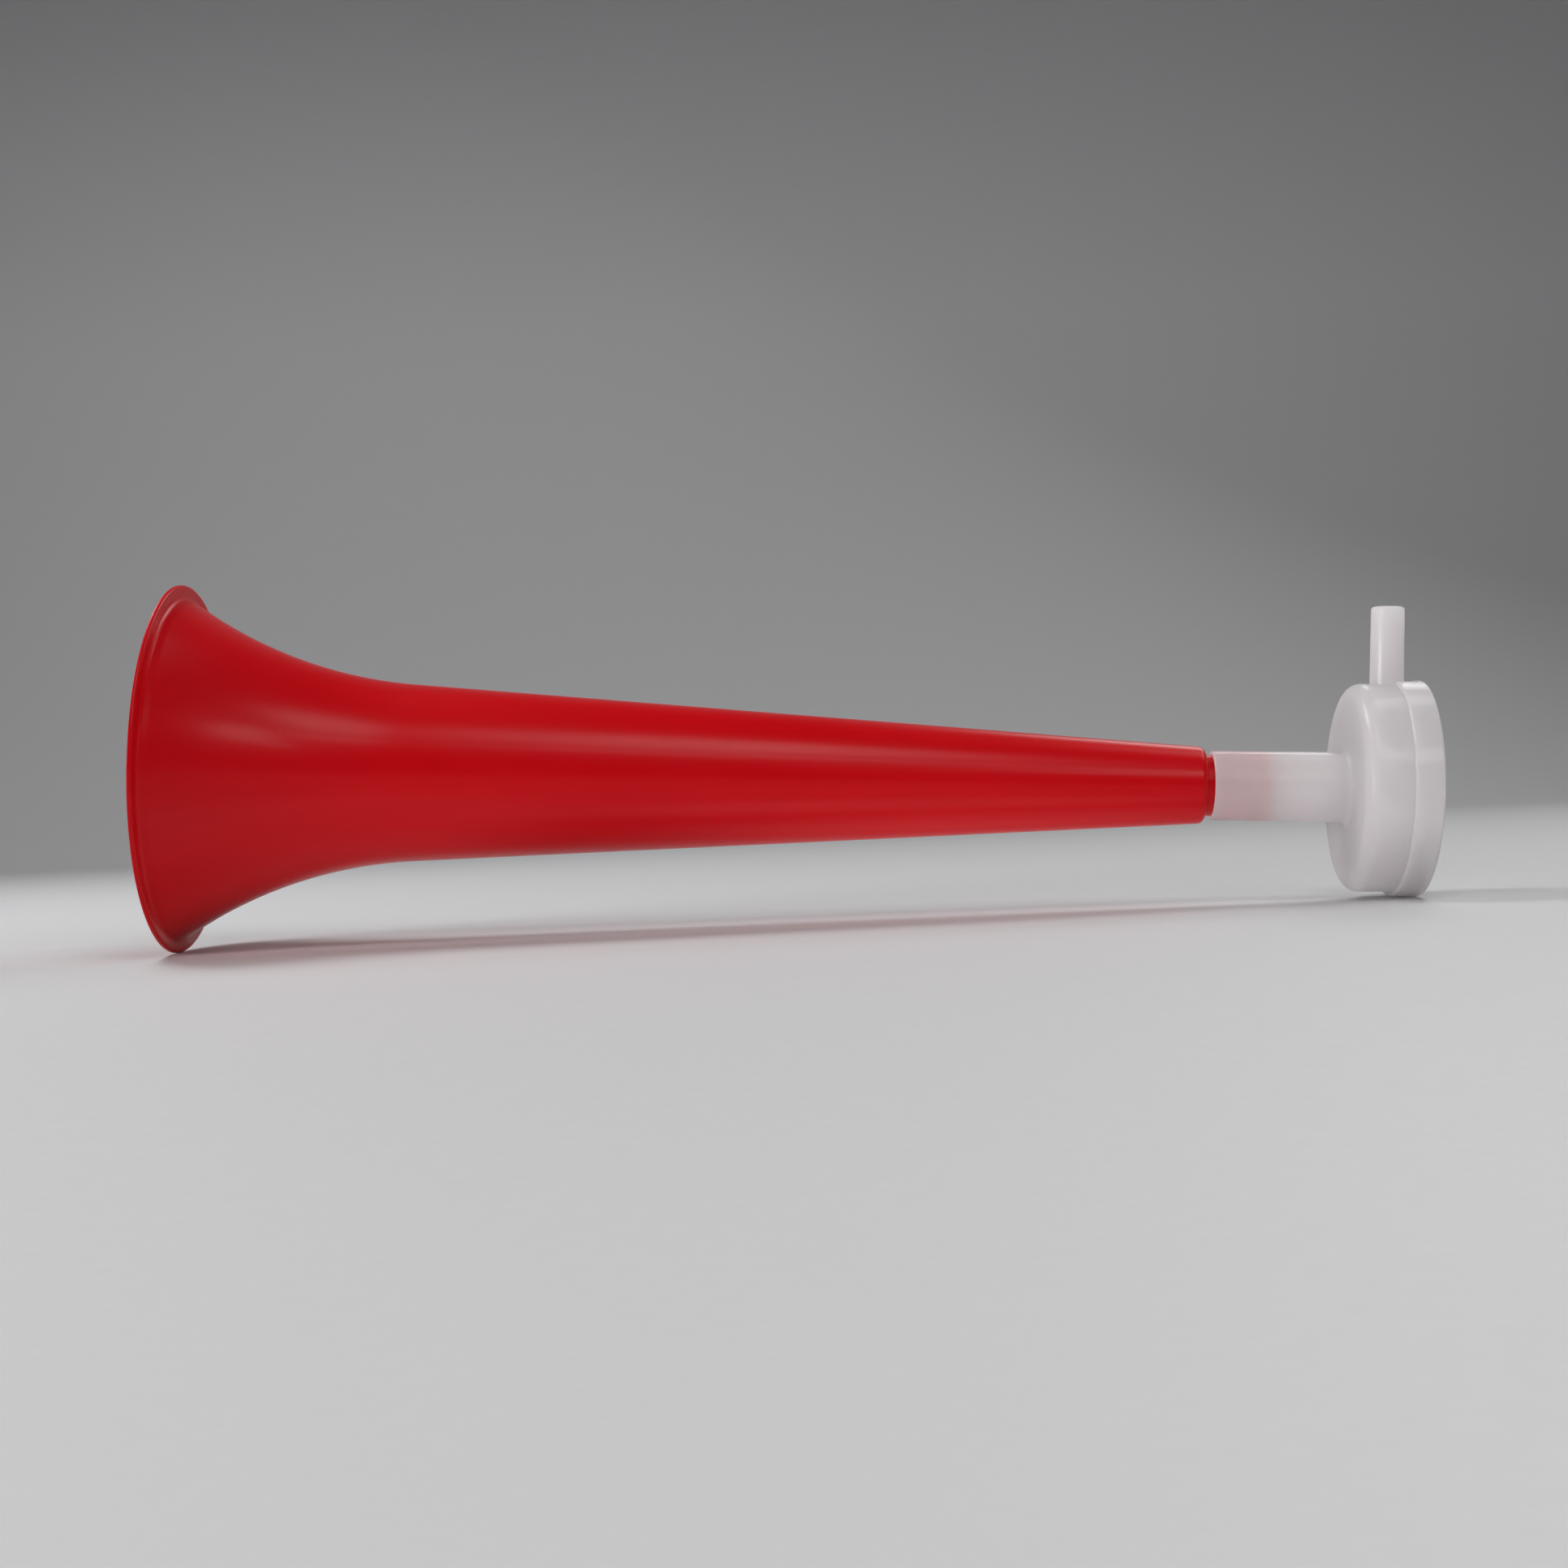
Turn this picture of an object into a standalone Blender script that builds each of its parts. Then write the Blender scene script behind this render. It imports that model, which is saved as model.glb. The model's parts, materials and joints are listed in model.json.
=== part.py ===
"""Stadium horn: a red moulded trumpet with a white membrane head pushed on its small end.

It lies as it is put down, on the rim of its bell and on the cap of its head, with the blow pipe up.
The pieces are drawn along a straight axis, x from the bell's mouth to the back of the head, and an
empty then tips them all onto the ground. Metres throughout.
"""

import math

import bmesh
import bpy
from mathutils import Matrix, Vector

# Trumpet: rim, flare, long taper and the spigot that carries the head
RIM_RADIUS = 0.0544
RIM_THICKNESS = 0.0013
RIM_FRONT_EDGE = 0.0003
RIM_BACK_EDGE = 0.0009
RIM_FILLET = 0.0012
MOUTH_EDGE = 0.0008
FLARE_LENGTH = 0.0698
FLARE_ARC = 0.1316
TUBE_LENGTH = 0.3020
TUBE_BIG_RADIUS = 0.02614
TUBE_SMALL_RADIUS = 0.01126
TRUMPET_WALL = 0.0014
SHOULDER_ROUND = 0.0018
THROAT_LENGTH = 0.0030
SPIGOT_RADIUS = 0.0090
SPIGOT_LENGTH = 0.0186
SPIGOT_WALL = 0.0013
SPIGOT_EDGE = 0.0005

# Head housing: neck, drum, voice tube and blow pipe in one moulding
SOCKET_GAP = 0.0003
SPIGOT_BARE = 0.0020
NECK_WALL = 0.00085
NECK_DRAFT = 0.0002
NECK_LENGTH = 0.0394
NECK_EDGE = 0.0005
NECK_FILLET = 0.0013
DRUM_RADIUS = 0.0305
DRUM_DEPTH = 0.01915
DRUM_WALL = 0.0015
DRUM_FACE = 0.0016
DRUM_CORNER = 0.0038
VOICE_BORE = 0.0082
VOICE_WALL = 0.0013
PIPE_SETBACK = 0.0117
PIPE_RADIUS = 0.00478
PIPE_DRAFT = 0.00017
PIPE_WALL = 0.0011
PIPE_PROUD = 0.02275
PIPE_EDGE = 0.0010
PIPE_FILLET = 0.0010

# Membrane: a film disc clamped between the drum's rim and the cap
FILM_THICKNESS = 0.00025
FILM_GAP = 0.0003
FILM_EDGE_GAP = 0.00075

# Cap: a push-on ring with a skirt, notched where the blow pipe passes
CAP_GAP = 0.0003
CAP_WALL = 0.0009
CAP_PLATE = 0.0013
CAP_REACH = 0.0083
CAP_CORNER = 0.0007
CAP_SKIRT_EDGE = 0.0003
CAP_OPENING = 0.0215
CAP_OPENING_EDGE = 0.0007
NOTCH_SIDE_GAP = 0.00085
NOTCH_BACK_GAP = 0.0030
NOTCH_CORNER = 0.0012

# How finely round shapes are cut into flats; an even number puts a flat at the bottom
SIDES = 60
PIPE_SIDES = 32
FLARE_STEPS = 9
ROUND_STEPS = 3
WELD = 1e-6

# Stations along the axis, each from the one before
SPIGOT_END = TUBE_LENGTH + SPIGOT_LENGTH
NECK_END = TUBE_LENGTH + SPIGOT_BARE
SOCKET_END = SPIGOT_END + SOCKET_GAP
DRUM_FRONT = NECK_END + NECK_LENGTH
DRUM_REAR = DRUM_FRONT + DRUM_DEPTH
FILM_FRONT = DRUM_REAR + FILM_GAP
CAP_INSIDE = FILM_FRONT + FILM_THICKNESS + FILM_GAP
CAP_BACK = CAP_INSIDE + CAP_PLATE
CAP_FRONT = CAP_BACK - CAP_REACH
PIPE_X = DRUM_FRONT + PIPE_SETBACK

# Radii that follow from a neighbour
SPIGOT_BORE = SPIGOT_RADIUS - SPIGOT_WALL
SOCKET_RADIUS = SPIGOT_RADIUS + SOCKET_GAP
NECK_RADIUS = SOCKET_RADIUS + NECK_WALL
VOICE_RADIUS = VOICE_BORE + VOICE_WALL
SKIRT_BORE = DRUM_RADIUS + CAP_GAP
SKIRT_RADIUS = SKIRT_BORE + CAP_WALL
FILM_RADIUS = SKIRT_BORE - FILM_EDGE_GAP
PIPE_TIP = DRUM_RADIUS + PIPE_PROUD
PIPE_ROOT_RADIUS = PIPE_RADIUS + PIPE_DRAFT


def clear_scene():
    for item in list(bpy.data.objects):
        bpy.data.objects.remove(item, do_unlink=True)


def plastic(name, colour, roughness):
    material = bpy.data.materials.new(name)
    material.use_nodes = True
    shader = material.node_tree.nodes["Principled BSDF"]
    shader.inputs["Base Color"].default_value = (*colour, 1.0)
    shader.inputs["Roughness"].default_value = roughness
    shader.inputs["Metallic"].default_value = 0.0
    return material


def rounded(corners):
    """Turns (x, radius, fillet) corners of a closed outline into points, with each fillet as a curve."""
    points = []
    for i, (x, r, fillet) in enumerate(corners):
        corner = Vector((x, r))
        if fillet == 0:
            points.append(corner)
            continue
        before = Vector(corners[i - 1][:2]) - corner
        after = Vector(corners[(i + 1) % len(corners)][:2]) - corner
        start = corner + before.normalized() * fillet
        end = corner + after.normalized() * fillet
        for step in range(ROUND_STEPS + 1):
            t = step / ROUND_STEPS
            points.append(start * (1 - t) ** 2 + corner * 2 * t * (1 - t) + end * t**2)
    return points


def turned(name, corners, sides):
    """A closed outline turned once round the x axis, with a flat at the top and at the bottom."""
    shape = bmesh.new()
    ring = [shape.verts.new((x, 0, r)) for x, r in rounded(corners)]
    edges = [shape.edges.new((ring[i - 1], ring[i])) for i in range(len(ring))]
    half_flat = Matrix.Rotation(math.pi / sides, 3, "X")
    bmesh.ops.rotate(shape, verts=ring, cent=(0, 0, 0), matrix=half_flat)
    bmesh.ops.spin(
        shape,
        geom=ring + edges,
        cent=(0, 0, 0),
        axis=(1, 0, 0),
        angle=2 * math.pi,
        steps=sides,
        use_merge=True,
    )
    bmesh.ops.remove_doubles(shape, verts=shape.verts, dist=WELD)
    bmesh.ops.recalc_face_normals(shape, faces=shape.faces)
    return finish_mesh(name, shape)


def finish_mesh(name, shape):
    mesh = bpy.data.meshes.new(name)
    shape.to_mesh(mesh)
    shape.free()
    mesh.shade_smooth()
    mesh.set_sharp_from_angle(angle=math.radians(35))
    item = bpy.data.objects.new(name, mesh)
    bpy.context.scene.collection.objects.link(item)
    return item


def as_guide(item):
    item.hide_render = True
    item.display_type = "WIRE"
    return item


def boolean(target, tool, operation):
    modifier = target.modifiers.new(operation.lower() + "_" + tool.name, "BOOLEAN")
    modifier.operation = operation
    modifier.solver = "EXACT"
    modifier.object = tool


def upright(item):
    """Stands a piece drawn along x on the drum's wall at the blow pipe's place."""
    item.rotation_euler = (0, -math.pi / 2, 0)
    item.location = (PIPE_X, 0, 0)
    return item


def taper_angle():
    drop = TUBE_BIG_RADIUS - TUBE_SMALL_RADIUS
    return math.atan2(drop, TUBE_LENGTH - FLARE_LENGTH)


def flare_points(depth, first_x):
    """The flare's curve, depth inside the outer surface, from first_x to where it meets the taper."""
    lean = taper_angle()
    centre_x = FLARE_LENGTH + FLARE_ARC * math.sin(lean)
    centre_r = TUBE_BIG_RADIUS + FLARE_ARC * math.cos(lean)
    radius = FLARE_ARC + depth
    first = math.acos((centre_x - first_x) / radius)
    last = math.pi / 2 - lean
    points = []
    for step in range(FLARE_STEPS + 1):
        angle = first + (last - first) * step / FLARE_STEPS
        points.append((centre_x - radius * math.cos(angle), centre_r - radius * math.sin(angle), 0))
    return points


def make_trumpet():
    lean = taper_angle()
    inner_drop = TRUMPET_WALL / math.cos(lean)
    throat_x = TUBE_LENGTH - THROAT_LENGTH
    throat_r = TUBE_SMALL_RADIUS + THROAT_LENGTH * math.tan(lean) - inner_drop
    behind_rim = RIM_THICKNESS + 2 * RIM_FILLET
    root = flare_points(0, RIM_THICKNESS)[0]
    mouth = flare_points(TRUMPET_WALL, 0)[0]
    outline = [
        (0, RIM_RADIUS, RIM_FRONT_EDGE),
        (RIM_THICKNESS, RIM_RADIUS, RIM_BACK_EDGE),
        (RIM_THICKNESS, root[1], RIM_FILLET),
        *flare_points(0, behind_rim),
        (TUBE_LENGTH, TUBE_SMALL_RADIUS, SHOULDER_ROUND),
        (TUBE_LENGTH, SPIGOT_RADIUS, 0),
        (SPIGOT_END, SPIGOT_RADIUS, SPIGOT_EDGE),
        (SPIGOT_END, SPIGOT_BORE, 0),
        (TUBE_LENGTH, SPIGOT_BORE, 0),
        (throat_x, throat_r, 0),
        *reversed(flare_points(TRUMPET_WALL, 2 * MOUTH_EDGE)),
        (0, mouth[1], MOUTH_EDGE),
    ]
    item = turned("trumpet", outline, SIDES)
    item.data.materials.append(plastic("red_gloss", (0.48, 0.008, 0.012), 0.24))
    return item


def pipe_blank():
    """The blow pipe before it is bored, with its foot sunk into the drum's wall."""
    foot = DRUM_RADIUS - 0.7 * DRUM_WALL
    wall_dip = DRUM_RADIUS - math.sqrt(DRUM_RADIUS**2 - PIPE_ROOT_RADIUS**2)
    flare_start = DRUM_RADIUS - wall_dip
    return [
        (foot, PIPE_ROOT_RADIUS + PIPE_FILLET, 0),
        (flare_start, PIPE_ROOT_RADIUS + PIPE_FILLET, 0),
        (flare_start + PIPE_FILLET / 3, PIPE_ROOT_RADIUS + PIPE_FILLET / 3, 0),
        (flare_start + PIPE_FILLET + wall_dip, PIPE_ROOT_RADIUS, 0),
        (PIPE_TIP, PIPE_RADIUS, PIPE_EDGE),
        (PIPE_TIP, PIPE_RADIUS - PIPE_WALL - PIPE_EDGE / 4, 0),
        (foot, PIPE_RADIUS - PIPE_WALL - PIPE_EDGE / 4, 0),
    ]


def make_housing():
    face_inside = DRUM_FRONT + DRUM_FACE
    drum_bore = DRUM_RADIUS - DRUM_WALL
    outline = [
        (NECK_END, NECK_RADIUS, NECK_EDGE),
        (DRUM_FRONT, NECK_RADIUS + NECK_DRAFT, NECK_FILLET),
        (DRUM_FRONT, DRUM_RADIUS, DRUM_CORNER),
        (DRUM_REAR, DRUM_RADIUS, 0),
        (DRUM_REAR, drum_bore, 0),
        (face_inside, drum_bore, DRUM_CORNER - DRUM_WALL),
        (face_inside, VOICE_RADIUS, NECK_FILLET / 2),
        (DRUM_REAR, VOICE_RADIUS, 0),
        (DRUM_REAR, VOICE_BORE, 0),
        (SOCKET_END, VOICE_BORE, 0),
        (SOCKET_END, SOCKET_RADIUS, 0),
        (NECK_END, SOCKET_RADIUS, 0),
    ]
    item = turned("head_housing", outline, SIDES)
    blank = as_guide(upright(turned("pipe_blank", pipe_blank(), PIPE_SIDES)))
    bore_radius = PIPE_RADIUS - PIPE_WALL
    bore = as_guide(rod("pipe_bore", bore_radius, DRUM_RADIUS - 4 * DRUM_WALL, PIPE_TIP + PIPE_WALL))
    bore.location.x = PIPE_X
    boolean(item, blank, "UNION")
    boolean(item, bore, "DIFFERENCE")
    item.data.materials.append(plastic("milky_white", (0.60, 0.57, 0.58), 0.38))
    return item


def rod(name, radius, low, high):
    """A plain upright rod from height low to height high."""
    shape = bmesh.new()
    bmesh.ops.create_cone(
        shape,
        cap_ends=True,
        cap_tris=False,
        segments=PIPE_SIDES,
        radius1=radius,
        radius2=radius,
        depth=high - low,
    )
    bmesh.ops.translate(shape, verts=shape.verts, vec=(0, 0, (low + high) / 2))
    return finish_mesh(name, shape)


def make_membrane():
    shape = bmesh.new()
    bmesh.ops.create_cone(
        shape,
        cap_ends=True,
        cap_tris=False,
        segments=SIDES,
        radius1=FILM_RADIUS,
        radius2=FILM_RADIUS,
        depth=FILM_THICKNESS,
    )
    lay_over = Matrix.Rotation(math.pi / 2, 3, "Y")
    bmesh.ops.rotate(shape, verts=shape.verts, cent=(0, 0, 0), matrix=lay_over)
    middle = FILM_FRONT + FILM_THICKNESS / 2
    bmesh.ops.translate(shape, verts=shape.verts, vec=(middle, 0, 0))
    item = finish_mesh("membrane", shape)
    item.data.materials.append(plastic("clear_film", (0.78, 0.79, 0.80), 0.18))
    return item


def make_cap():
    outline = [
        (CAP_FRONT, SKIRT_RADIUS, CAP_SKIRT_EDGE),
        (CAP_BACK, SKIRT_RADIUS, CAP_CORNER),
        (CAP_BACK, CAP_OPENING, CAP_OPENING_EDGE),
        (CAP_INSIDE, CAP_OPENING, 0),
        (CAP_INSIDE, SKIRT_BORE, 0),
        (CAP_FRONT, SKIRT_BORE, 0),
    ]
    item = turned("retaining_cap", outline, SIDES)
    boolean(item, as_guide(notch_cutter()), "DIFFERENCE")
    item.data.materials.append(plastic("milky_white_cap", (0.60, 0.57, 0.58), 0.38))
    return item


def notch_cutter():
    """A block that opens the skirt in front of the blow pipe and rounds the notch's two inner corners."""
    half_width = PIPE_ROOT_RADIUS + NOTCH_SIDE_GAP
    notch_end = PIPE_X + PIPE_ROOT_RADIUS + NOTCH_BACK_GAP
    start = CAP_FRONT - CAP_WALL
    shape = bmesh.new()
    bmesh.ops.create_cube(shape, size=1)
    size = (notch_end - start, 2 * half_width, DRUM_RADIUS)
    bmesh.ops.scale(shape, verts=shape.verts, vec=size)
    centre = ((start + notch_end) / 2, 0, DRUM_RADIUS)
    bmesh.ops.translate(shape, verts=shape.verts, vec=centre)
    inner = [e for e in shape.edges if all(v.co.x > notch_end - WELD for v in e.verts)]
    inner = [e for e in inner if abs(e.verts[0].co.z - e.verts[1].co.z) > WELD]
    bmesh.ops.bevel(
        shape,
        geom=inner,
        offset=NOTCH_CORNER,
        offset_type="OFFSET",
        segments=ROUND_STEPS,
        profile=0.5,
        affect="EDGES",
        material=-1,
    )
    return finish_mesh("notch_cutter", shape)


def lowest_and_span(items):
    """The lowest height of the pieces, and the middle of their reach along x, as they now lie."""
    bpy.context.view_layer.update()
    points = []
    for item in items:
        points += [item.matrix_world @ v.co for v in item.data.vertices]
    ends = [p.x for p in points]
    return min(p.z for p in points), (min(ends) + max(ends)) / 2


def lay_down(items, guides):
    """Tips the horn until its rim and its cap both touch the ground, and centres it on the origin."""
    rise = (RIM_RADIUS - SKIRT_RADIUS) * math.cos(math.pi / SIDES)
    run = (CAP_BACK - CAP_CORNER) - (RIM_THICKNESS - RIM_BACK_EDGE)
    lie = bpy.data.objects.new("lie", None)
    bpy.context.scene.collection.objects.link(lie)
    lie.rotation_euler.y = math.atan2(rise, run)
    for item in items + guides:
        item.parent = lie
    low, middle = lowest_and_span(items)
    lie.location = (-middle, 0, -low)


def main():
    clear_scene()
    pieces = [make_trumpet(), make_housing(), make_membrane(), make_cap()]
    guides = [item for item in bpy.data.objects if item.hide_render]
    lay_down(pieces, guides)


main()
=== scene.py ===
import json
import math

import bmesh
import bpy
from mathutils import Matrix, Vector


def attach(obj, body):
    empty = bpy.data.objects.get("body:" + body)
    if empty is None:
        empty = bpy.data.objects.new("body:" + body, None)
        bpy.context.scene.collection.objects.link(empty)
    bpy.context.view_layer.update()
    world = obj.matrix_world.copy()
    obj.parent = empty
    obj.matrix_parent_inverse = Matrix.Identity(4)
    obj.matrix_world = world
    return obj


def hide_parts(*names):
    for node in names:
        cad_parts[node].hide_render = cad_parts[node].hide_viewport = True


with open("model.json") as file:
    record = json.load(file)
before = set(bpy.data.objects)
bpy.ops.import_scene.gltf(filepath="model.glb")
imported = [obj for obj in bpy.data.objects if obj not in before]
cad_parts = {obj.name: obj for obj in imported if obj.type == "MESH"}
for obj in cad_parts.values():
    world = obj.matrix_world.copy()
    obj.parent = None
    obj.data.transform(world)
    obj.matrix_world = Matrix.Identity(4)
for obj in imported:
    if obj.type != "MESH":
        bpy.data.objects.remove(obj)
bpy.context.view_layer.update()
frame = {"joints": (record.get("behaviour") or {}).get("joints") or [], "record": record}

# Trumpet
# One injection moulding in glossy red plastic: flat rim, flare, long taper and the plain spigot that
# the head is pushed on. It was drawn off a polished core, and has faint flow lines along its length.
RIM_RADIUS = 0.0544
RIM_THICKNESS = 0.0013
RIM_FRONT_EDGE = 0.0003
RIM_BACK_EDGE = 0.0008
RIM_FILLET = 0.0012
MOUTH_EDGE = 0.0007
FLARE_LENGTH = 0.0698
FLARE_ARC = 0.1316
TUBE_LENGTH = 0.3020
TUBE_BIG_RADIUS = 0.02614
TUBE_SMALL_RADIUS = 0.01126
TRUMPET_WALL = 0.0014
SHOULDER_ROUND = 0.0018
THROAT_LENGTH = 0.0030
SPIGOT_RADIUS = 0.0090
SPIGOT_END = 0.3206
SPIGOT_BORE = 0.0077
SPIGOT_EDGE = 0.0004
RED = (0.550, 0.0025, 0.0062, 1)
RED_FLOW = (0.530, 0.0020, 0.0056, 1)
RED_FLOW_STRETCH = 6
RED_FLOW_SCALE = 4
RED_FLOW_STRENGTH = 0.03
RED_SMUDGE_SCALE = 28
RED_SMOOTH = 0.28
RED_SMUDGED = 0.33
RED_SPECULAR = 0.10
RED_COAT = 0.06
RED_COAT_ROUGHNESS = 0.14
FLOW_DETAIL = 2
FLOW_DEPTH = 0.0002

TURN_STEPS = 192
FLARE_STEPS = 36
EDGE_STEPS = 6
SHARP_ANGLE = math.radians(40)
HOLD = 0.0004
LONG_EDGE = 4 * HOLD
WELD = 1e-6
# The frame's rounds have this many flats, and a true circle inside them touches the ground where they do
FRAME_FLATS = 60
TRUE_ROUND = math.cos(math.pi / FRAME_FLATS)

# The horn lies tipped on its rim and its cap. Its pieces are drawn in metres along a straight axis, x
# from the bell's mouth to the back of the head, and this matrix then lays them down.
mounts = {mount["name"]: mount for mount in frame["record"]["mounts"]}
rim_mark = Vector(mounts["bell_rim"]["pos_m"])
horn_axis = Vector(frame["joints"][0]["axis"])
tip_angle = math.atan2(-horn_axis.z, horn_axis.x)
lie = Matrix.Translation((rim_mark.x, 0, rim_mark.z)) @ Matrix.Rotation(tip_angle, 4, "Y")


def corner_chain(shape, corners):
    """Joins (x, radius) corners with edges, in order, and returns their vertices."""
    chain = [shape.verts.new((x, 0, radius)) for x, radius in corners]
    for first, second in zip(chain, chain[1:]):
        shape.edges.new((first, second))
    return chain


def round_corner(shape, corner, size):
    """Rounds one corner of an outline, before it is turned."""
    bmesh.ops.bevel(
        shape,
        geom=[corner],
        offset=size,
        offset_type="OFFSET",
        segments=EDGE_STEPS,
        profile=0.5,
        affect="VERTICES",
        material=-1,
    )


def hold_corners(shape):
    """Adds a point close to both ends of each long edge, which keeps long faces straight in the shading."""
    for edge in [e for e in shape.edges if e.calc_length() > LONG_EDGE]:
        for end in list(edge.verts):
            bmesh.utils.edge_split(edge, end, HOLD / edge.calc_length())


def turn(shape):
    """Turns an outline once round the horn's axis into a closed skin."""
    hold_corners(shape)
    bmesh.ops.spin(
        shape,
        geom=shape.verts[:] + shape.edges[:],
        cent=(0, 0, 0),
        axis=(1, 0, 0),
        angle=math.tau,
        steps=TURN_STEPS,
        use_merge=True,
    )
    bmesh.ops.remove_doubles(shape, verts=shape.verts, dist=WELD)
    bmesh.ops.recalc_face_normals(shape, faces=shape.faces)


def as_piece(name, shape, material):
    """Fits the turned shape inside the frame's flats, lays it down with the horn and names it."""
    bmesh.ops.scale(shape, vec=(1, TRUE_ROUND, TRUE_ROUND), verts=shape.verts)
    bmesh.ops.transform(shape, matrix=lie, verts=shape.verts)
    return as_object(name, shape, material)


def as_object(name, shape, material=None):
    """Turns a shape into a mesh object that is shaded smooth up to its sharp edges."""
    mesh = bpy.data.meshes.new(name)
    shape.to_mesh(mesh)
    shape.free()
    mesh.shade_smooth()
    mesh.set_sharp_from_angle(angle=SHARP_ANGLE)
    if material:
        mesh.materials.append(material)
    item = bpy.data.objects.new(name, mesh)
    bpy.context.scene.collection.objects.link(item)
    return item


def flare_arc(shape, depth, first_x):
    """The flare's curve, depth inside the outer skin, from first_x on to where it meets the taper."""
    lean = math.atan2(TUBE_BIG_RADIUS - TUBE_SMALL_RADIUS, TUBE_LENGTH - FLARE_LENGTH)
    centre = Vector((FLARE_LENGTH, 0, TUBE_BIG_RADIUS))
    centre += FLARE_ARC * Vector((math.sin(lean), 0, math.cos(lean)))
    reach = FLARE_ARC + depth
    first = math.acos((centre.x - first_x) / reach)
    last = math.pi / 2 - lean
    start = shape.verts.new(centre - reach * Vector((math.cos(first), 0, math.sin(first))))
    spun = bmesh.ops.spin(
        shape,
        geom=[start],
        cent=centre,
        axis=(0, 1, 0),
        angle=first - last,
        steps=FLARE_STEPS,
    )
    end = [part for part in spun["geom_last"] if isinstance(part, bmesh.types.BMVert)][0]
    return start, end


def trumpet_shape():
    """The trumpet's wall as one closed outline: out over the rim, down the skin, back up the bore."""
    shape = bmesh.new()
    drop = (TUBE_BIG_RADIUS - TUBE_SMALL_RADIUS) / (TUBE_LENGTH - FLARE_LENGTH)
    throat_radius = TUBE_SMALL_RADIUS + THROAT_LENGTH * drop - TRUMPET_WALL * math.hypot(1, drop)
    # The flare's two curves start clear of the rounded corners at the rim
    skin_start, skin_end = flare_arc(shape, 0, RIM_THICKNESS + 2 * RIM_FILLET)
    bore_start, bore_end = flare_arc(shape, TRUMPET_WALL, 2 * MOUTH_EDGE)
    rim = corner_chain(
        shape,
        [
            (0, bore_start.co.z + MOUTH_EDGE),
            (0, RIM_RADIUS),
            (RIM_THICKNESS, RIM_RADIUS),
            (RIM_THICKNESS, skin_start.co.z + RIM_FILLET),
        ],
    )
    tail = corner_chain(
        shape,
        [
            (TUBE_LENGTH, TUBE_SMALL_RADIUS),
            (TUBE_LENGTH, SPIGOT_RADIUS),
            (SPIGOT_END, SPIGOT_RADIUS),
            (SPIGOT_END, SPIGOT_BORE),
            (TUBE_LENGTH, SPIGOT_BORE),
            (TUBE_LENGTH - THROAT_LENGTH, throat_radius),
        ],
    )
    shape.edges.new((bore_start, rim[0]))
    shape.edges.new((rim[-1], skin_start))
    shape.edges.new((skin_end, tail[0]))
    shape.edges.new((tail[-1], bore_end))
    round_corner(shape, rim[0], MOUTH_EDGE)
    round_corner(shape, rim[1], RIM_FRONT_EDGE)
    round_corner(shape, rim[2], RIM_BACK_EDGE)
    round_corner(shape, rim[3], RIM_FILLET)
    round_corner(shape, tail[0], SHOULDER_ROUND)
    round_corner(shape, tail[2], SPIGOT_EDGE)
    turn(shape)
    return shape


def new_finish(name):
    """A node material, its shader, and a vector with x along the horn's axis and y and z across it."""
    material = bpy.data.materials.new(name)
    material.use_nodes = True
    nodes = material.node_tree.nodes
    where = nodes.new("ShaderNodeTexCoord")
    on_axis = nodes.new("ShaderNodeMapping")
    on_axis.vector_type = "TEXTURE"
    on_axis.inputs["Location"].default_value = lie.translation
    on_axis.inputs["Rotation"].default_value = (0, tip_angle, 0)
    material.node_tree.links.new(where.outputs["Object"], on_axis.inputs["Vector"])
    return material, nodes["Principled BSDF"], on_axis.outputs["Vector"]


def round_the_horn(material, vector, stretch):
    """The place along the axis times stretch, with the direction round it: lines then run lengthwise."""
    nodes, links = material.node_tree.nodes, material.node_tree.links
    across = nodes.new("ShaderNodeVectorMath")
    across.operation = "MULTIPLY"
    across.inputs[1].default_value = (0, 1, 1)
    direction = nodes.new("ShaderNodeVectorMath")
    direction.operation = "NORMALIZE"
    along = nodes.new("ShaderNodeVectorMath")
    along.operation = "MULTIPLY_ADD"
    along.inputs[1].default_value = (stretch, 0, 0)
    links.new(vector, across.inputs[0])
    links.new(across.outputs[0], direction.inputs[0])
    links.new(vector, along.inputs[0])
    links.new(direction.outputs[0], along.inputs[2])
    return along.outputs[0]


# A noise seldom leaves the middle of its range, so colours and values are spread over that
COLOUR_FROM = 0.35
COLOUR_TO = 0.65
VALUE_FROM = 0.3
VALUE_TO = 0.7
NOISE_DETAIL = 3.0


def noise(material, vector, scale, detail=NOISE_DETAIL):
    """A cloudy pattern: the larger its scale, the smaller its clouds."""
    nodes, links = material.node_tree.nodes, material.node_tree.links
    clouds = nodes.new("ShaderNodeTexNoise")
    clouds.inputs["Scale"].default_value = scale
    clouds.inputs["Detail"].default_value = detail
    links.new(vector, clouds.inputs["Vector"])
    return clouds.outputs["Fac"]


def mix_colours(material, factor, first, second):
    """A colour that goes from first to second with a noise."""
    nodes, links = material.node_tree.nodes, material.node_tree.links
    ramp = nodes.new("ShaderNodeValToRGB")
    ramp.color_ramp.elements[0].position = COLOUR_FROM
    ramp.color_ramp.elements[0].color = first
    ramp.color_ramp.elements[1].position = COLOUR_TO
    ramp.color_ramp.elements[1].color = second
    links.new(factor, ramp.inputs["Fac"])
    return ramp.outputs["Color"]


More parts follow.
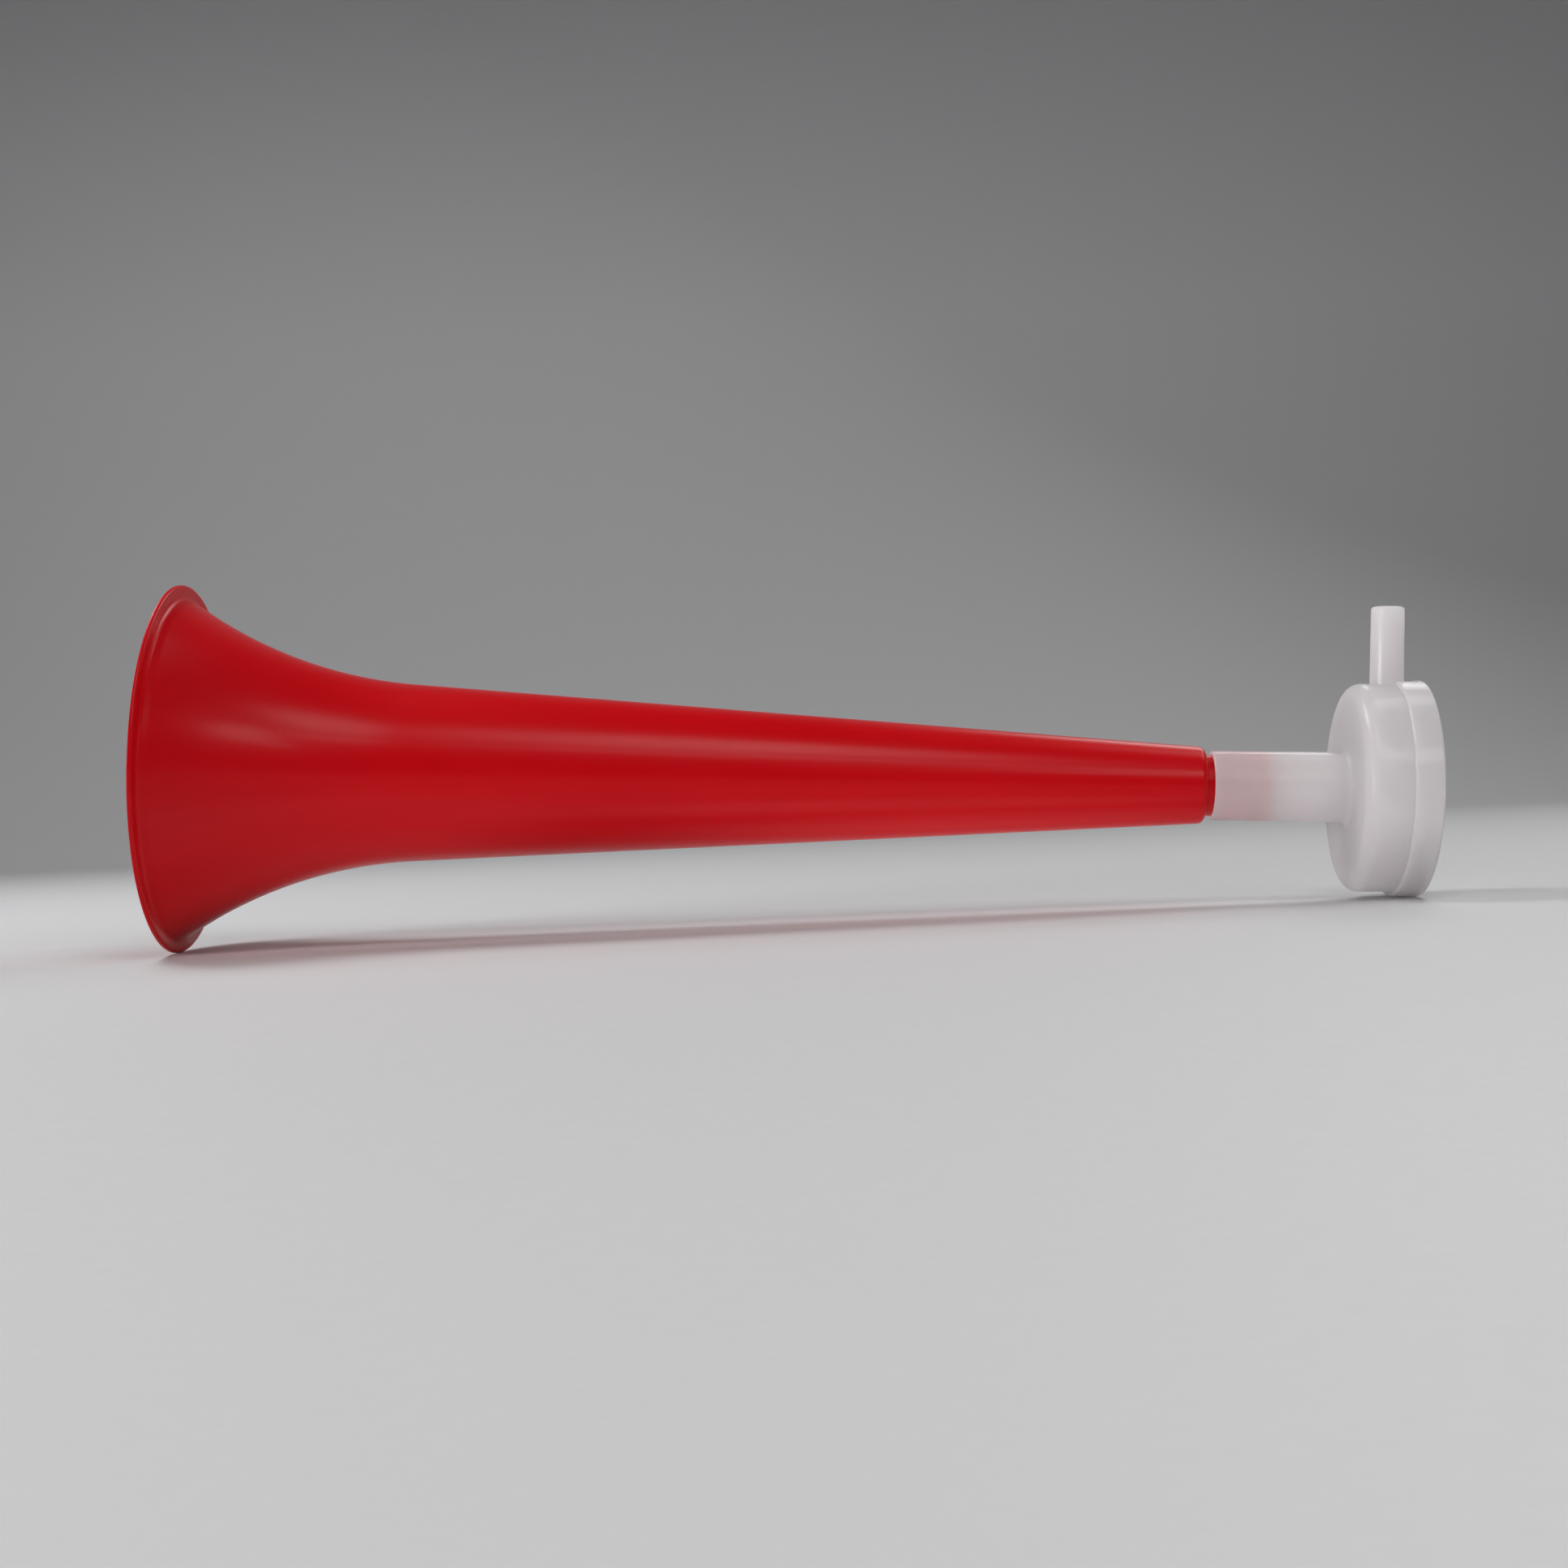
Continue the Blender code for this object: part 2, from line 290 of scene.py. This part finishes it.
def between(material, factor, low, high):
    """A value that goes from low to high with a noise."""
    nodes, links = material.node_tree.nodes, material.node_tree.links
    spread = nodes.new("ShaderNodeMapRange")
    spread.inputs["From Min"].default_value = VALUE_FROM
    spread.inputs["From Max"].default_value = VALUE_TO
    spread.inputs["To Min"].default_value = low
    spread.inputs["To Max"].default_value = high
    links.new(factor, spread.inputs["Value"])
    return spread.outputs["Result"]


def bump(material, height, depth, strength):
    nodes, links = material.node_tree.nodes, material.node_tree.links
    relief = nodes.new("ShaderNodeBump")
    relief.inputs["Distance"].default_value = depth
    relief.inputs["Strength"].default_value = strength
    links.new(height, relief.inputs["Height"])
    return relief.outputs["Normal"]


def red_plastic():
    material, shader, vector = new_finish("trumpet_red_plastic")
    links = material.node_tree.links
    lengthwise = round_the_horn(material, vector, RED_FLOW_STRETCH)
    flow = noise(material, lengthwise, RED_FLOW_SCALE, FLOW_DETAIL)
    smudges = noise(material, vector, RED_SMUDGE_SCALE)
    links.new(mix_colours(material, flow, RED_FLOW, RED), shader.inputs["Base Color"])
    links.new(between(material, smudges, RED_SMOOTH, RED_SMUDGED), shader.inputs["Roughness"])
    links.new(bump(material, flow, FLOW_DEPTH, RED_FLOW_STRENGTH), shader.inputs["Normal"])
    shader.inputs["Specular IOR Level"].default_value = RED_SPECULAR
    shader.inputs["Coat Weight"].default_value = RED_COAT
    shader.inputs["Coat Roughness"].default_value = RED_COAT_ROUGHNESS
    return material


trumpet = as_piece("trumpet_body", trumpet_shape(), red_plastic())
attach(trumpet, "trumpet")
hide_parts("trumpet")

# Head housing
# One moulding in milky plastic that lets the red spigot glow through its neck. Neck, drum, inner
# voice tube and blow pipe are one piece, and the neck is held on the spigot by friction alone.
NECK_END = 0.3040
NECK_RADIUS = 0.01015
NECK_DRAFT = 0.0002
NECK_EDGE = 0.0005
NECK_FILLET = 0.0018
SOCKET_RADIUS = 0.00908
SOCKET_END = 0.3209
DRUM_FRONT = 0.3434
DRUM_REAR = 0.36255
DRUM_RADIUS = 0.0305
DRUM_WALL = 0.0015
DRUM_FACE = 0.0016
DRUM_CORNER = 0.0038
DRUM_EDGE = DRUM_WALL / 5
VOICE_BORE = 0.0082
VOICE_RADIUS = 0.0095
VOICE_FILLET = 2 * DRUM_EDGE
PIPE_X = 0.3551
PIPE_TIP = 0.05325
PIPE_RADIUS = 0.00478
PIPE_ROOT_RADIUS = 0.00495
PIPE_WALL = 0.0011
PIPE_EDGE = 0.0009
PIPE_SINK = 0.7 * DRUM_WALL
PIPE_BORE_SINK = 4 * DRUM_WALL
MILK_COOL = (0.910, 0.895, 0.900, 1)
MILK_ROSY = (0.900, 0.870, 0.877, 1)
MILK_THROUGH = (0.965, 0.947, 0.951, 1)
MILK_SHARE_THROUGH = 0.70
MILK_CLOUD_SCALE = 45
MILK_FLOW_STRETCH = 20
MILK_FLOW_SCALE = 6
MILK_FLOW_STRENGTH = 0.04
MILK_SMOOTH = 0.28
MILK_DULL = 0.34
MILK_COAT = 0.5
MILK_COAT_ROUGHNESS = 0.06


def housing_shape():
    """Neck, drum and voice tube as one closed outline, from the neck's end out over the drum and back."""
    shape = bmesh.new()
    face_inside = DRUM_FRONT + DRUM_FACE
    drum_bore = DRUM_RADIUS - DRUM_WALL
    ring = corner_chain(
        shape,
        [
            (NECK_END, NECK_RADIUS),
            (DRUM_FRONT, NECK_RADIUS + NECK_DRAFT),
            (DRUM_FRONT, DRUM_RADIUS),
            (DRUM_REAR, DRUM_RADIUS),
            (DRUM_REAR, drum_bore),
            (face_inside, drum_bore),
            (face_inside, VOICE_RADIUS),
            (DRUM_REAR, VOICE_RADIUS),
            (DRUM_REAR, VOICE_BORE),
            (SOCKET_END, VOICE_BORE),
            (SOCKET_END, SOCKET_RADIUS),
            (NECK_END, SOCKET_RADIUS),
        ],
    )
    shape.edges.new((ring[-1], ring[0]))
    round_corner(shape, ring[0], NECK_EDGE)
    round_corner(shape, ring[1], NECK_FILLET)
    round_corner(shape, ring[2], DRUM_CORNER)
    round_corner(shape, ring[3], DRUM_EDGE)
    round_corner(shape, ring[4], DRUM_EDGE)
    round_corner(shape, ring[5], DRUM_CORNER - DRUM_WALL)
    round_corner(shape, ring[6], VOICE_FILLET)
    round_corner(shape, ring[7], DRUM_EDGE)
    round_corner(shape, ring[8], DRUM_EDGE)
    turn(shape)
    return shape


def pipe_shape(radius_at_root, radius_at_tip, low, high, edge):
    """A closed upright rod for the blow pipe or its bore, turned about the pipe's own axis."""
    shape = bmesh.new()
    bmesh.ops.create_cone(
        shape,
        cap_ends=True,
        segments=TURN_STEPS // 2,
        radius1=radius_at_root,
        radius2=radius_at_tip,
        depth=high - low,
    )
    bmesh.ops.translate(shape, vec=(PIPE_X, 0, (low + high) / 2), verts=shape.verts)
    if edge:
        tip = [e for e in shape.edges if all(v.co.z > high - WELD for v in e.verts)]
        bmesh.ops.bevel(
            shape,
            geom=tip,
            offset=edge,
            offset_type="OFFSET",
            segments=EDGE_STEPS,
            profile=0.5,
            affect="EDGES",
            material=-1,
        )
    return shape


def join_shapes(base, tool, operation):
    """Joins one closed object with another, or cuts it with that, and removes the second."""
    change = base.modifiers.new(operation.lower(), "BOOLEAN")
    change.operation = operation
    change.solver = "EXACT"
    change.object = tool
    drawn = bpy.context.evaluated_depsgraph_get()
    mesh = bpy.data.meshes.new_from_object(base.evaluated_get(drawn))
    base.modifiers.clear()
    base.data = mesh
    bpy.data.objects.remove(tool)


def bmesh_of(item):
    """Takes an object's shape back for more work and removes the object."""
    shape = bmesh.new()
    shape.from_mesh(item.data)
    bpy.data.objects.remove(item)
    return shape


def milky_plastic(name):
    """The surface sends some light back and lets most of it through, so the red spigot glows in the neck."""
    material, shader, vector = new_finish(name)
    nodes, links = material.node_tree.nodes, material.node_tree.links
    clouds = noise(material, vector, MILK_CLOUD_SCALE)
    lengthwise = round_the_horn(material, vector, MILK_FLOW_STRETCH)
    flow = noise(material, lengthwise, MILK_FLOW_SCALE, FLOW_DETAIL)
    relief = bump(material, flow, FLOW_DEPTH, MILK_FLOW_STRENGTH)
    links.new(mix_colours(material, clouds, MILK_COOL, MILK_ROSY), shader.inputs["Base Color"])
    links.new(between(material, clouds, MILK_SMOOTH, MILK_DULL), shader.inputs["Roughness"])
    links.new(relief, shader.inputs["Normal"])
    shader.inputs["Coat Weight"].default_value = MILK_COAT
    shader.inputs["Coat Roughness"].default_value = MILK_COAT_ROUGHNESS
    through = nodes.new("ShaderNodeBsdfTranslucent")
    through.inputs["Color"].default_value = MILK_THROUGH
    links.new(relief, through.inputs["Normal"])
    both = nodes.new("ShaderNodeMixShader")
    both.inputs["Fac"].default_value = MILK_SHARE_THROUGH
    links.new(shader.outputs["BSDF"], both.inputs[1])
    links.new(through.outputs["BSDF"], both.inputs[2])
    links.new(both.outputs["Shader"], nodes["Material Output"].inputs["Surface"])
    return material


housing = as_object("housing_blank", housing_shape())
pipe_low = DRUM_RADIUS - PIPE_SINK
pipe_rod = pipe_shape(PIPE_ROOT_RADIUS, PIPE_RADIUS, pipe_low, PIPE_TIP, PIPE_EDGE)
pipe = as_object("pipe_blank", pipe_rod)
bore_radius = PIPE_RADIUS - PIPE_WALL
bore_low = DRUM_RADIUS - PIPE_BORE_SINK
bore_rod = pipe_shape(bore_radius, bore_radius, bore_low, PIPE_TIP + PIPE_WALL, 0)
bore = as_object("bore_blank", bore_rod)
join_shapes(housing, pipe, "UNION")
join_shapes(housing, bore, "DIFFERENCE")
milky = milky_plastic("housing_milky_plastic")
head = as_piece("head_housing_shell", bmesh_of(housing), milky)
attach(head, "head")
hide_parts("head_housing")

# Membrane
# A disc of thin clear film, held only by the cap, which pinches it against the drum's rim. Blown air
# lifts it off the end of the voice tube, and its slap back is the sound.
FILM_FRONT = 0.36285
FILM_THICKNESS = 0.00025
FILM_RADIUS = 0.03005
FILM_COLOUR = (0.95, 0.96, 0.97, 1)
FILM_CLEARNESS = 0.92
FILM_IOR = 1.45
FILM_SMOOTH = 0.10
FILM_DULL = 0.20
CREASE_SCALE = 60
CREASE_DEPTH = 0.001
CREASE_STRENGTH = 0.2


def film_shape():
    shape = bmesh.new()
    corner_chain(
        shape,
        [
            (FILM_FRONT, 0),
            (FILM_FRONT, FILM_RADIUS),
            (FILM_FRONT + FILM_THICKNESS, FILM_RADIUS),
            (FILM_FRONT + FILM_THICKNESS, 0),
        ],
    )
    turn(shape)
    return shape


def clear_film():
    material, shader, vector = new_finish("membrane_clear_film")
    links = material.node_tree.links
    creases = noise(material, vector, CREASE_SCALE)
    links.new(between(material, creases, FILM_SMOOTH, FILM_DULL), shader.inputs["Roughness"])
    links.new(bump(material, creases, CREASE_DEPTH, CREASE_STRENGTH), shader.inputs["Normal"])
    shader.inputs["Base Color"].default_value = FILM_COLOUR
    shader.inputs["Transmission Weight"].default_value = FILM_CLEARNESS
    shader.inputs["IOR"].default_value = FILM_IOR
    return material


film = as_piece("membrane_film_disc", film_shape(), clear_film())
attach(film, "membrane")
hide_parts("membrane")

# Retaining cap
# A ring in the same milky plastic, pushed over the drum by hand. Its skirt has a notch that passes
# the blow pipe, and its open back leaves the film free to sound.
CAP_FRONT = 0.3564
CAP_INSIDE = 0.3634
CAP_BACK = 0.3647
SKIRT_BORE = 0.0306
SKIRT_RADIUS = 0.0317
CAP_CORNER = 0.0007
CAP_SKIRT_EDGE = 0.0005
CAP_SKIRT_INNER_EDGE = CAP_SKIRT_EDGE / 2
CAP_OPENING = 0.0215
CAP_OPENING_EDGE = 0.0006
CAP_OPENING_INNER_EDGE = CAP_OPENING_EDGE / 2
NOTCH_HALF_WIDTH = 0.0058
NOTCH_END = 0.36305
NOTCH_CORNER = 0.0012


def cap_shape():
    """Skirt and back ring as one closed outline. The corner that the film lies in stays sharp."""
    shape = bmesh.new()
    ring = corner_chain(
        shape,
        [
            (CAP_FRONT, SKIRT_RADIUS),
            (CAP_BACK, SKIRT_RADIUS),
            (CAP_BACK, CAP_OPENING),
            (CAP_INSIDE, CAP_OPENING),
            (CAP_INSIDE, SKIRT_BORE),
            (CAP_FRONT, SKIRT_BORE),
        ],
    )
    shape.edges.new((ring[-1], ring[0]))
    round_corner(shape, ring[0], CAP_SKIRT_EDGE)
    round_corner(shape, ring[1], CAP_CORNER)
    round_corner(shape, ring[2], CAP_OPENING_EDGE)
    round_corner(shape, ring[3], CAP_OPENING_INNER_EDGE)
    round_corner(shape, ring[5], CAP_SKIRT_INNER_EDGE)
    turn(shape)
    return shape


def notch_shape():
    """The block that opens the skirt in front of the blow pipe, with its two inner corners rounded."""
    shape = bmesh.new()
    bmesh.ops.create_cube(shape, size=1)
    start = CAP_FRONT - CAP_CORNER
    bmesh.ops.scale(shape, vec=(NOTCH_END - start, 2 * NOTCH_HALF_WIDTH, DRUM_RADIUS), verts=shape.verts)
    bmesh.ops.translate(shape, vec=((start + NOTCH_END) / 2, 0, DRUM_RADIUS), verts=shape.verts)
    inner = [e for e in shape.edges if all(v.co.x > NOTCH_END - WELD for v in e.verts)]
    inner = [e for e in inner if abs(e.verts[0].co.z - e.verts[1].co.z) > WELD]
    bmesh.ops.bevel(
        shape,
        geom=inner,
        offset=NOTCH_CORNER,
        offset_type="OFFSET",
        segments=EDGE_STEPS,
        profile=0.5,
        affect="EDGES",
        material=-1,
    )
    return shape


cap_blank = as_object("cap_blank", cap_shape())
notch = as_object("notch_blank", notch_shape())
join_shapes(cap_blank, notch, "DIFFERENCE")
cap = as_piece("retaining_cap_ring", bmesh_of(cap_blank), milky_plastic("cap_milky_plastic"))
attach(cap, "cap")
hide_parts("retaining_cap")

# Floor and backdrop
# One plain pale sheet with a matt finish. It lies flat under the horn and sweeps up behind it in a
# wide curve, as a studio's paper backdrop does.
FLOOR_SIZE = 12.0
BACKDROP_DISTANCE = 1.6
BACKDROP_HEIGHT = 2.4
SWEEP_ROUND = 0.5
SWEEP_STEPS = 24
FLOOR_COLOUR = (0.58, 0.58, 0.59, 1)
FLOOR_GRAIN_SCALE = 300
FLOOR_SMOOTH = 0.60
FLOOR_DULL = 0.70


def floor_shape():
    shape = bmesh.new()
    side = FLOOR_SIZE / 2
    near = shape.verts.new((-side, -side, 0))
    foot = shape.verts.new((-side, BACKDROP_DISTANCE, 0))
    top = shape.verts.new((-side, BACKDROP_DISTANCE, BACKDROP_HEIGHT))
    shape.edges.new((near, foot))
    shape.edges.new((foot, top))
    bmesh.ops.bevel(
        shape,
        geom=[foot],
        offset=SWEEP_ROUND,
        offset_type="OFFSET",
        segments=SWEEP_STEPS,
        profile=0.5,
        affect="VERTICES",
        material=-1,
    )
    swept = bmesh.ops.extrude_edge_only(shape, edges=shape.edges[:])
    moved = [part for part in swept["geom"] if isinstance(part, bmesh.types.BMVert)]
    bmesh.ops.translate(shape, vec=(FLOOR_SIZE, 0, 0), verts=moved)
    bmesh.ops.recalc_face_normals(shape, faces=shape.faces)
    return shape


def floor_paint():
    material, shader, vector = new_finish("floor_paint")
    links = material.node_tree.links
    grain = noise(material, vector, FLOOR_GRAIN_SCALE)
    shader.inputs["Base Color"].default_value = FLOOR_COLOUR
    links.new(between(material, grain, FLOOR_SMOOTH, FLOOR_DULL), shader.inputs["Roughness"])
    return material


floor = as_object("floor", floor_shape(), floor_paint())

# Lights
# Plain softboxes round the horn. Most of the light comes from low at its left and from above, small
# ones under it lift its lower side, and the dark room keeps the red deep.
ROOM_DARK = (0.015, 0.015, 0.016, 1)
room = bpy.data.worlds.new("room")
room.use_nodes = True
room.node_tree.nodes["Background"].inputs["Color"].default_value = ROOM_DARK
bpy.context.scene.world = room

# A softbox fades out to its edges over this share of its half width
FADE = 0.7
# Its middle is brighter by this, which makes up for the light that the fade takes
FADE_MAKE_UP = 2.6


def softbox(name, place, aim, size, power):
    """A rectangular lamp that the camera doesn't see, from place towards aim, with its power in watts."""
    lamp = bpy.data.lights.new(name, "AREA")
    lamp.shape = "RECTANGLE"
    lamp.size = size[0]
    lamp.size_y = size[1]
    lamp.energy = power
    lamp.use_nodes = True
    nodes, links = lamp.node_tree.nodes, lamp.node_tree.links
    where = nodes.new("ShaderNodeNewGeometry")
    centred = nodes.new("ShaderNodeVectorMath")
    centred.operation = "MULTIPLY_ADD"
    centred.inputs[1].default_value = (2, 2, 0)
    centred.inputs[2].default_value = (-1, -1, 0)
    from_middle = nodes.new("ShaderNodeVectorMath")
    from_middle.operation = "LENGTH"
    fade = nodes.new("ShaderNodeMapRange")
    fade.interpolation_type = "SMOOTHSTEP"
    fade.inputs["From Min"].default_value = 1
    fade.inputs["From Max"].default_value = 1 - FADE
    fade.inputs["To Max"].default_value = FADE_MAKE_UP
    links.new(where.outputs["Parametric"], centred.inputs[0])
    links.new(centred.outputs[0], from_middle.inputs[0])
    links.new(from_middle.outputs["Value"], fade.inputs["Value"])
    links.new(fade.outputs["Result"], nodes["Emission"].inputs["Strength"])
    item = bpy.data.objects.new(name, lamp)
    item.location = place
    item.rotation_euler = (Vector(aim) - Vector(place)).to_track_quat("-Z", "Y").to_euler()
    item.visible_camera = False
    bpy.context.scene.collection.objects.link(item)


horn_middle = (0, 0, 0.05)
softbox("left_strip", place=(-1.15, -0.55, 0.45), aim=horn_middle, size=(0.12, 0.6), power=0.6)
softbox("left_low", place=(-1.3, -0.8, 0.3), aim=horn_middle, size=(0.9, 0.35), power=8.8)
softbox("left_back", place=(-0.55, 0.3, 0.85), aim=(-0.55, 0.3, 0), size=(0.6, 0.7), power=6.8)
softbox("key", place=(0.1, -0.6, 0.85), aim=(0.1, -0.6, 0), size=(0.55, 0.7), power=3)
softbox("front", place=(0.15, -1.0, 0.85), aim=(0.15, -1.0, 0), size=(0.7, 0.4), power=2)
softbox("key_right", place=(0.66, -1.1, 0.8), aim=horn_middle, size=(0.5, 0.5), power=2.4)
softbox("right_over", place=(0.6, 0.25, 0.85), aim=(0.6, 0.25, 0), size=(0.7, 0.6), power=2.2)
softbox("right", place=(1.2, -0.3, 0.3), aim=horn_middle, size=(0.6, 0.5), power=0.8)
softbox("back", place=(0.6, 1.05, 0.85), aim=horn_middle, size=(0.9, 0.7), power=3.5)
softbox("lamp", place=(0.42, -1.13, 0.59), aim=horn_middle, size=(0.2, 0.12), power=0.26)
softbox("under_tube", place=(0.03, -0.045, 0.002), aim=(0.03, -0.045, 1), size=(0.30, 0.04), power=0.013)
softbox("under_back", place=(0.06, -0.01, 0.002), aim=(0.06, -0.01, 1), size=(0.26, 0.04), power=0.009)
softbox("under_bell", place=(-0.12, -0.05, 0.002), aim=(-0.12, -0.05, 1), size=(0.14, 0.14), power=0.011)
softbox("under_head", place=(0.18, -0.08, 0.002), aim=(0.18, -0.08, 1), size=(0.10, 0.08), power=0.01)

# Camera
# Level with the horn and almost square on to it, where the photograph was taken from. Its place and
# turns are given along the horn's straight axis, before the horn is laid down.
CAMERA_PLACE = (0.19066, -0.68585, -0.00065)
CAMERA_YAW = math.radians(1.0)
CAMERA_PITCH = -0.00134
CAMERA_ROLL = -0.01571
SENSOR = 36.0
# The photograph's width and its focal length, both in its own pixels
PHOTO_WIDTH = 1932
FOCAL_PIXELS = 2866.64
FOCAL_SHARE = FOCAL_PIXELS / PHOTO_WIDTH

camera_data = bpy.data.cameras.new("camera")
camera_data.sensor_width = SENSOR
camera_data.lens = SENSOR * FOCAL_SHARE
camera = bpy.data.objects.new("camera", camera_data)
turned = Matrix.Rotation(CAMERA_YAW, 4, "Z") @ Matrix.Rotation(CAMERA_PITCH, 4, "X")
turned = turned @ Matrix.Rotation(CAMERA_ROLL, 4, "Y") @ Matrix.Rotation(math.pi / 2, 4, "X")
camera.matrix_world = lie @ Matrix.Translation(CAMERA_PLACE) @ turned
bpy.context.scene.collection.objects.link(camera)
bpy.context.scene.camera = camera
bpy.context.scene.view_settings.view_transform = "Standard"
